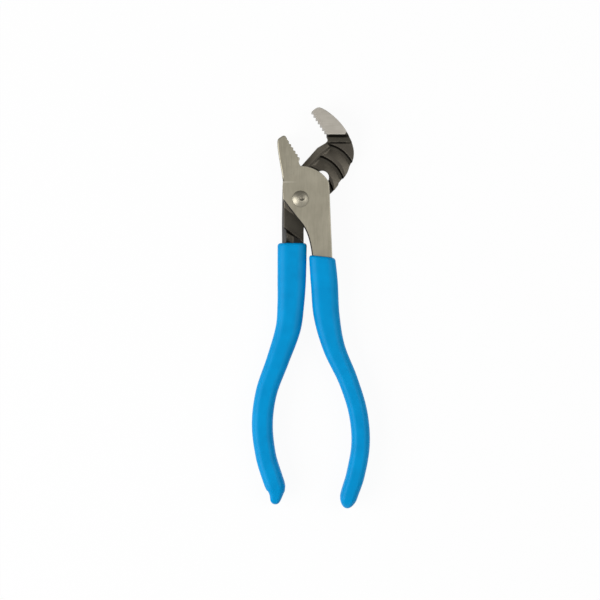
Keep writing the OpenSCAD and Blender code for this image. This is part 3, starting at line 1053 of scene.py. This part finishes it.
        # Grooved neck: painted light on the slopes, rubbed oxide on the lands and plain oxide on
        # the floors.
        if grooved and up > self.slope_lean:
            if up < FLAT:
                return WORN_AND_PAINTED_LIGHT
            return RUBBED_AND_HIGHLIGHT if middle.z > self.lap_z - ABOUT else BLACKENED
        # Steep walls of grooves and ledge carry painted shade.
        steep = self.steep[0] < up < self.steep[1] and middle.z > self.groove_z
        inner = middle.x > self.strip_x and middle.y > self.lip_y
        return PAINTED_SHADE if steep and inner else BLACKENED

    def left_alone(self, edge: BMEdge) -> bool:
        """Whether an edge stays as it is: tooth, groove's end or run-out in the throat."""
        return (self.tooth_edge(edge) or self.groove_end(edge)
                or all(map(self.in_throat, edge.verts)))

    def shape(self) -> BMesh:
        """Builds the dark half.

        Returns:
            Its mesh in place, in metres.
        """
        bm = self.merged()
        # Neck and shank part under the hub, where nothing shows, so that each has its own finish.
        self.cut(bm, bm.faces, Vector(), self.cut_across.cross(Z_WAY))
        self.turn_step(bm)
        self.draft_side(bm)
        self.widen_neck(bm)
        self.run_groove_out(bm)
        self.drop_corner(bm)
        bm.normal_update()
        for face in bm.faces:
            self.dress(face, self.shank_finish(face) or self.jaw_finish(face)
                       or self.neck_finish(face))
        self.soften(bm, self.shank_rim, Edge.SHADED)
        self.soften(bm, lambda e: not self.left_alone(e), Edge.FINE)
        self.keep_inside(bm)
        self.fold(bm)
        return bm


@dataclass
class Turned(Piece):
    """A turned piece of the pivot, whose end shows as part of one low punched dome."""

    seat_z: float = 5.58
    face_z: float = 7.08
    dome: float = 0.85
    dome_radius: float = 2.3
    punch_x: float = 0.5
    punch_y: float = 0.25
    punch_radius: float = 0.85
    punch_depth: float = 0.3
    punch_from_z: float = 6.98
    # How far the painted shade in the punch mark reaches, how it fades at its rim and how dark it
    # goes.
    shade_rim: float = 1.05
    shade_fade: float = 0.2
    shade_strength: float = 1.5
    ring: float = 0.05
    steps: int = 96

    def finishes(self) -> list[Finish]:
        """Oiled steel below and turned steel on the dome."""
        return [BOLT, RIVET]

    @abstractmethod
    def foot(self) -> list[tuple[float, float]]:
        """Radius and height of the section's corners below the dome, up to its outer end."""

    @abstractmethod
    def crown(self) -> tuple[float, float]:
        """The outer and inner radius of the dome's share of the section."""

    @staticmethod
    def ball(radius: float, height: float) -> float:
        """Radius of the ball that a cap of this radius and height is cut from."""
        return (radius ** 2 + height ** 2) / (2 * height)

    def dome_height(self, radius: float) -> float:
        """Height of the dome at a radius."""
        ball = self.ball(self.dome_radius, self.dome)
        return self.face_z + self.dome - ball + math.sqrt(ball ** 2 - radius ** 2)

    def punch(self, bm: BMesh) -> None:
        """Pushes the round punch mark into the dome and paints shade into it.

        Args:
            bm: The turned mesh.
        """
        punch_shade = bm.verts.layers.float.new(WEAR_AND_PAINT_LAYER)
        ball = self.ball(self.punch_radius, self.punch_depth)
        at = Vector((self.punch_x, self.punch_y))
        foot = self.dome_height(at.length) - self.punch_depth + ball
        for vert in bm.verts:
            off = (vert.co.xy / MM - at).length
            if vert.co.z > self.punch_from_z * MM and off < ball:
                floor = foot - math.sqrt(ball ** 2 - off ** 2)
                vert.co.z = min(vert.co.z, floor * MM)
                inside = max(self.shade_rim - off / self.punch_radius, 0)
                vert[punch_shade] = self.shade_strength * min(inside / self.shade_fade, 1)

    def shape(self) -> BMesh:
        """Builds the piece by turning its section.

        Returns:
            Its mesh in place, in metres.
        """
        outer, inner = self.crown()
        count = round((outer - inner) / self.ring)
        radii = [outer + (inner - outer) * i / count for i in range(count + 1)]
        line = self.foot() + [(r, self.dome_height(r)) for r in radii]
        bm = bmesh.new()
        verts = [bm.verts.new(Vector((r, 0, z)) * MM) for r, z in line]
        first = 0 if line[0][0] > 0 else 1
        edges = [bm.edges.new((verts[i - 1], verts[i])) for i in range(first, len(verts))]
        bmesh.ops.spin(bm, geom=verts + edges, cent=(0, 0, 0), axis=Z_WAY, dvec=(0, 0, 0),
                       angle=math.tau, steps=self.steps, use_merge=True, use_duplicate=False)
        bmesh.ops.remove_doubles(bm, verts=bm.verts, dist=WELD)
        bmesh.ops.recalc_face_normals(bm, faces=bm.faces)
        for face in bm.faces:
            shown = face.calc_center_median().z > self.seat_z * MM
            self.dress(face, RIVET if shown else BOLT)
        self.punch(bm)
        return bm


@dataclass
class PivotBolt(Turned):
    """The bolt: flat head with two flats in the rear half's track, shank and staked end."""

    head_radius: float = 3.65
    head_flats: float = 6.1
    head_height: float = 1.25
    head_chamfer: float = 0.12
    shank: float = 1.9
    stud: float = 1.1
    slot_angle: float = 45.8

    def foot(self) -> list[tuple[float, float]]:
        """Head, shank and stud."""
        return [(0, 0), (self.head_radius - self.head_chamfer, 0),
                (self.head_radius, self.head_chamfer), (self.head_radius, self.head_height),
                (self.shank, self.head_height), (self.shank, self.seat_z),
                (self.stud, self.seat_z)]

    def crown(self) -> tuple[float, float]:
        """The stud's own share of the dome."""
        return self.stud, 0.0

    def shape(self) -> BMesh:
        """Builds the bolt, with two flats on its head.

        Returns:
            Its mesh in place, in metres.
        """
        bm = super().shape()
        turn = math.radians(self.slot_angle)
        across = Vector((-math.sin(turn), math.cos(turn), 0))
        half = self.head_flats / 2 * MM
        for vert in bm.verts:
            off = vert.co.dot(across)
            if vert.co.z < (self.head_height + NEAR) * MM and abs(off) > half:
                vert.co -= across * (off - math.copysign(half, off))
        return bm


@dataclass
class PivotNut(Turned):
    """The low domed nut, staked into the bright face."""

    bore: float = 1.12
    chamfer: float = 0.15

    def foot(self) -> list[tuple[float, float]]:
        """The bore's foot, the seat and the rim."""
        return [(self.bore, self.seat_z), (self.dome_radius - self.chamfer, self.seat_z),
                (self.dome_radius, self.seat_z + self.chamfer)]

    def crown(self) -> tuple[float, float]:
        """The nut's own share of the dome."""
        return self.dome_radius, self.bore


@dataclass(frozen=True)
class Station:
    """One place on a handle: how far down, where across, how wide and how thick its grip is."""

    down: float
    x: float
    width: float
    thick: float = 1.0


@dataclass
class DippedGrip(Piece):
    """A dipped vinyl sleeve: pocket round the steel, rounded lip, grip and closed end."""

    stations: list[Station]
    top: float
    reach: float
    tilt: float
    tang_end: float
    cap: float
    sinks: bool = False
    # The coat: its thickness, how far it stays inside its solid, and its room round the steel.
    coat: float = 1.1
    shy: float = 0.03
    gap: float = 0.03
    lip: float = 0.85
    # Heights of the steel's back and face, also at the root of a handle that sinks.
    back_z: float = 1.24
    face_z: float = 5.84
    root_back_z: float = 2.93
    root_face_z: float = 7.08
    sink_to: float = 0.24
    # Shares of the handle over which its lean is read and its tilt eases, and the pocket's foot.
    lean_span: float = 0.004
    tilt_to: float = 0.1
    foot: float = 0.016
    # The unit section's corners, and the numbers of rings along the sleeve.
    corner: float = 0.68
    corner_steps: int = 9
    flat_cuts: int = 3
    pocket_rings: int = 24
    lip_rings: int = 8
    rings: int = 90
    cap_rings: int = 11
    cap_turn: float = 88.0

    def finishes(self) -> list[Finish]:
        """Blue vinyl all over."""
        return [VINYL]

    @property
    def run(self) -> float:
        """Length of the handle from the lip to the end."""
        return self.reach - self.top

    def read(self, name: str, down: float) -> float:
        """Reads a smooth value between the stations.

        Args:
            name: Field of the stations.
            down: Share of the way down the handle.

        Returns:
            The value there.
        """
        marks = [s.down for s in self.stations]
        values = [getattr(s, name) for s in self.stations]
        last = len(marks) - 1
        i = max(k for k in range(last) if k == 0 or down >= marks[k])
        step = marks[i + 1] - marks[i]
        pulls = [
            step * (values[min(k + 1, last)] - values[max(k - 1, 0)])
            / (marks[min(k + 1, last)] - marks[max(k - 1, 0)])
            for k in (i, i + 1)
        ]
        t = (down - marks[i]) / step
        a, b = values[i], values[i + 1]
        curve = 3 * (b - a) - 2 * pulls[0] - pulls[1] + t * (2 * (a - b) + pulls[0] + pulls[1])
        return a + t * (pulls[0] + t * curve)

    @staticmethod
    def ease(share: float) -> float:
        """A smooth rise from nought to one."""
        t = min(max(share, 0.0), 1.0)
        return t * t * (3 - 2 * t)

    def place(self, down: float, extra: float, size: float = 1.0) -> Matrix:
        """Works out where a ring of the sleeve goes.

        Args:
            down: Share of the way down the handle.
            extra: How far the ring stands off the steel.
            size: Share of the ring's full size, below one where the end closes.

        Returns:
            Matrix that carries the unit section there, in metres.
        """
        here = max(down, 0.0)
        low, high = max(here - self.lean_span, 0.0), min(here + self.lean_span, 1.0)
        lean = math.atan2(self.read("x", high) - self.read("x", low), (high - low) * self.run)
        tilt = math.radians(self.tilt)
        turn = tilt + (lean - tilt) * self.ease(here / self.tilt_to)
        sunk = self.ease(here / self.sink_to) if self.sinks else 1.0
        back = self.root_back_z + (self.back_z - self.root_back_z) * sunk
        front = self.root_face_z + (self.face_z - self.root_face_z) * sunk
        half_width = (self.read("width", here) / 2 - self.coat + extra) * size
        half_thick = ((front - back) / 2 + extra) * size * self.read("thick", here)
        at = Vector((self.read("x", here), -(self.top + down * self.run), (front + back) / 2)) * MM
        spread = Matrix.Diagonal((half_width * MM, 1.0, half_thick * MM, 1.0))
        return (Matrix.Translation(at) @ Matrix.Rotation(turn, 4, "Z") @ spread
                @ Matrix.Rotation(math.radians(90), 4, "X"))

    def path(self) -> list[Matrix]:
        """Places all rings in order: up the pocket, over the lip and down to the closed end.

        Returns:
            A matrix for each ring.
        """
        cap_from = 1 - self.cap / self.run
        lip_to = self.lip / self.run
        skin = self.coat - self.shy
        rings = [self.place(self.tang_end + self.foot, self.gap)]
        for i in range(self.pocket_rings, -1, -1):
            rings.append(self.place(self.tang_end * i / self.pocket_rings, self.gap))
        for i in range(self.lip_rings + 1):
            turn = math.radians(90 * i / self.lip_rings)
            rings.append(self.place(lip_to * (1 - math.cos(turn)),
                                    skin - self.lip * (1 - math.sin(turn))))
        for i in range(1, self.rings + 1):
            rings.append(self.place(lip_to + (cap_from - lip_to) * i / self.rings, skin))
        for i in range(1, self.cap_rings + 1):
            turn = math.radians(self.cap_turn * i / self.cap_rings)
            rings.append(self.place(cap_from + (1 - cap_from) * math.sin(turn), skin,
                                    math.cos(turn)))
        return rings

    def section(self, bm: BMesh) -> list[BMEdge]:
        """Draws the unit section, a square with its corners rounded.

        Args:
            bm: Mesh that takes it, with the face that closes the pocket's foot.

        Returns:
            The section's edges.
        """
        corners = [bm.verts.new((x, y, 0)) for x, y in ((-1, -1), (1, -1), (1, 1), (-1, 1))]
        bm.faces.new(corners)
        bmesh.ops.bevel(bm, geom=corners, offset=self.corner, offset_type="OFFSET",
                        segments=self.corner_steps, profile=0.5, affect="VERTICES", material=-1,
                        clamp_overlap=False)
        flats = [e for e in bm.edges if e.calc_length() > 2 * (1 - self.corner) - NEAR]
        bmesh.ops.subdivide_edges(bm, edges=flats, cuts=self.flat_cuts)
        return list(bm.edges)

    def shape(self) -> BMesh:
        """Builds the sleeve by drawing its section along the handle.

        Returns:
            Its mesh in place, in metres.
        """
        bm = bmesh.new()
        edges = self.section(bm)
        places = self.path()
        bmesh.ops.transform(bm, matrix=places[0], verts=bm.verts)
        for before, after in zip(places, places[1:]):
            made = bmesh.ops.extrude_edge_only(bm, edges=edges)["geom"]
            edges = [g for g in made if isinstance(g, BMEdge)]
            verts = [g for g in made if isinstance(g, BMVert)]
            bmesh.ops.transform(bm, matrix=after @ before.inverted(), verts=verts)
        bmesh.ops.holes_fill(bm, edges=edges, sides=0)
        bmesh.ops.recalc_face_normals(bm, faces=bm.faces)
        return bm


@dataclass(frozen=True)
class Lamp:
    """A soft square lamp: its place and size in millimetres, and its watts."""

    name: str
    at: tuple[float, float, float]
    size: float
    watts: float


@dataclass
class Studio:
    """White table, soft lamps and the camera straight above, as in the photograph."""

    view_x: float = -0.14
    view_y: float = -28.67
    view_width: float = 170.8
    view_z: float = 5.0
    camera_height: float = 550.0
    sensor: float = 36.0
    clip: tuple[float, float] = (10.0, 10000.0)
    table_size: float = 3000.0
    table_z: float = -0.05
    card: str = "#f6f6f6"
    glow: float = 0.94
    sky: float = 0.24
    dark_from: float = 0.1
    dark_to: float = 0.65
    dark_side: float = 0.4
    lamps: tuple[Lamp, ...] = (
        Lamp("key_lamp", (-560.0, -160.0, 400.0), 600.0, 4.8),
        Lamp("fill_lamp", (420.0, 60.0, 560.0), 500.0, 1.8),
    )

    def seen(self, tree: NodeTree) -> Node:
        """Adds the test for rays that show the background: from the camera, metal or glass.

        Args:
            tree: Tree that takes the nodes.

        Returns:
            A node that gives one for such rays and nought for others.
        """
        rays = add_node(tree, "ShaderNodeLightPath").outputs
        shiny = add_node(tree, "ShaderNodeMath",
                         {0: rays["Is Glossy Ray"], 1: rays["Is Transmission Ray"]},
                         operation="MAXIMUM")
        return add_node(tree, "ShaderNodeMath", {0: rays["Is Camera Ray"], 1: shiny},
                        operation="MAXIMUM")

    def table(self) -> None:
        """Lays the white table that keeps the shadow."""
        bm = bmesh.new()
        bmesh.ops.create_grid(bm, x_segments=1, y_segments=1, size=self.table_size / 2 * MM)
        bmesh.ops.translate(bm, vec=Vector((0, self.view_y, self.table_z)) * MM, verts=bm.verts)
        mesh = bpy.data.meshes.new("table")
        bm.to_mesh(mesh)
        bm.free()
        white = bpy.data.materials.new("white_card")
        tree = clear_tree(white)
        card = add_node(tree, "ShaderNodeBsdfDiffuse", {"Color": linear(self.card)})
        shine = add_node(tree, "ShaderNodeEmission", {"Color": (1, 1, 1, 1), "Strength": 1.0})
        share = add_node(tree, "ShaderNodeMath", {0: self.seen(tree), 1: self.glow},
                         operation="MULTIPLY")
        both = add_node(tree, "ShaderNodeMixShader", {0: share, 1: card, 2: shine})
        add_node(tree, "ShaderNodeOutputMaterial", {"Surface": both})
        mesh.materials.append(white)
        made = add_object("table", mesh)

    def world(self) -> None:
        """Makes the white room: full white where it is seen, softer where it lights."""
        made = bpy.data.worlds.new("white_room")
        bpy.context.scene.world = made
        tree = clear_tree(made)
        place = add_node(tree, "ShaderNodeTexCoord").outputs["Generated"]
        way = add_node(tree, "ShaderNodeSeparateXYZ", {0: place})
        card = add_node(tree, "ShaderNodeMapRange",
                        {"Value": way.outputs["Y"], "From Min": self.dark_from,
                         "From Max": self.dark_to, "To Min": 1.0, "To Max": self.dark_side},
                        interpolation_type="SMOOTHSTEP")
        rays = add_node(tree, "ShaderNodeLightPath").outputs
        shown = add_node(tree, "ShaderNodeMix",
                         {0: rays["Is Glossy Ray"], 2: 1.0, 3: card}, data_type="FLOAT")
        level = add_node(tree, "ShaderNodeMix",
                         {0: self.seen(tree), 2: self.sky, 3: shown}, data_type="FLOAT")
        room = add_node(tree, "ShaderNodeBackground",
                        {"Color": (1, 1, 1, 1), "Strength": level})
        add_node(tree, "ShaderNodeOutputWorld", {"Surface": room})

    def light(self) -> None:
        """Hangs the soft lamps, each turned to the middle of the pliers."""
        aim = Vector((0, self.view_y, 0)) * MM
        for lamp in self.lamps:
            light = bpy.data.lights.new(lamp.name, "AREA")
            light.size = lamp.size * MM
            light.energy = lamp.watts
            made = add_object(lamp.name, light)
            made.location = Vector(lamp.at) * MM
            made.rotation_euler = (aim - made.location).to_track_quat("-Z", "Y").to_euler()
            made.visible_camera = False

    def camera(self) -> None:
        """Sets the camera straight above with the photograph's frame."""
        lens = bpy.data.cameras.new("camera")
        lens.sensor_width = self.sensor
        lens.lens = self.sensor * self.camera_height / self.view_width
        lens.clip_start, lens.clip_end = (c * MM for c in self.clip)
        made = add_object("camera", lens)
        made.location = Vector((self.view_x, self.view_y, self.camera_height + self.view_z)) * MM
        bpy.context.scene.camera = made

    def build(self) -> None:
        """Sets up table, room, lamps, camera and the plain view of colours."""
        self.table()
        self.world()
        self.light()
        self.camera()
        bpy.context.scene.view_settings.view_transform = "Standard"


FRONT_STATIONS = [
    Station(0, 6.15, 7.6), Station(0.109, 6.8, 7.75), Station(0.235, 7.46, 7.45),
    Station(0.362, 9.57, 6.35), Station(0.489, 13.52, 5.6), Station(0.617, 16.37, 5.4),
    Station(0.744, 17.14, 5.3), Station(0.87, 15.63, 5.3), Station(0.95, 13.8, 5.0, 0.98),
    Station(1, 13.05, 4.3, 0.88),
]
REAR_STATIONS = [
    Station(0, -2.36, 8.4), Station(0.142, -2.5, 8.17), Station(0.233, -2.76, 7.7),
    Station(0.325, -3.5, 7.25), Station(0.447, -6.46, 6.5), Station(0.57, -9.71, 6.15),
    Station(0.692, -10.88, 6.05), Station(0.814, -9.88, 5.85), Station(0.9, -7.95, 5.85),
    Station(0.938, -6.98, 5.5, 0.95), Station(0.96, -6.95, 4.1, 0.74),
    Station(0.982, -7.16, 3.1, 0.54), Station(1, -7.2, 2.9, 0.47),
]
# Corners that are too tight to round: the slot's and the track's ends, the neck's foot, and the
# places where grooves run out and where the lap's ledges meet.
REAR_TIGHT = [Vector(p) for p in (
    (7.6, 7.8, 3.5), (8.9, 9.1, 0), (0.22, 9.27, 2.5), (14.83, 10.78, 2.9), (12.26, 6.14, 2.7),
    (0.3, 9.2, 0), (0.91, -12.3, 3.6), (0.91, -12.3, 4.4), (0.91, -12.3, 5.2), (0.91, -12.4, 5.8),
)]
FRONT_TIGHT = [Vector(p) for p in ((8.05, -0.6, 3.58), (8.05, -4.6, 3.58), (1.2, 9.18, 3.58))]


def pliers() -> list[Piece]:
    """Lists the pieces of the pliers with their places and bodies.

    Returns:
        The pieces in the order in which they are built.
    """
    return [
        RearHalf("rear_half", "rear_lever", "black_oxide_steel", "rear_half_steel",
                 bite_start=Vector((7.431, 18.016)), bite_length=7.93, steel_on=-1, grip_y=-12.2,
                 cut_across=Vector((-0.7169, 0.6972, 0)), tight_spots=REAR_TIGHT),
        FrontHalf("front_half", "front_lever", "ground_steel", "front_half_steel",
                  bite_start=Vector((-0.23, 11.67)), bite_length=6.65, steel_on=1, grip_y=-15.8,
                  cut_across=X_WAY, tight_spots=FRONT_TIGHT),
        PivotBolt("pivot_bolt", "pivot", "bolt_steel", "pivot_bolt_steel"),
        PivotNut("pivot_nut", "pivot", "nut_steel", "pivot_nut_steel"),
        DippedGrip("rear_grip", "rear_lever", "dipped_vinyl", "rear_grip_vinyl", REAR_STATIONS,
                   top=12.45, reach=87.0, tilt=0.0, tang_end=0.89, cap=1.5),
        DippedGrip("front_grip", "front_lever", "dipped_vinyl", "front_grip_vinyl", FRONT_STATIONS,
                   top=16.3, reach=88.1, tilt=-6.5, tang_end=0.93, cap=3.4, sinks=True),
    ]


def main() -> None:
    """Builds the studio and the pliers."""
    logging.basicConfig(level=logging.INFO, format="%(message)s")
    Studio().build()
    for piece in pliers():
        piece.build()


if __name__ == "__main__":
    main()
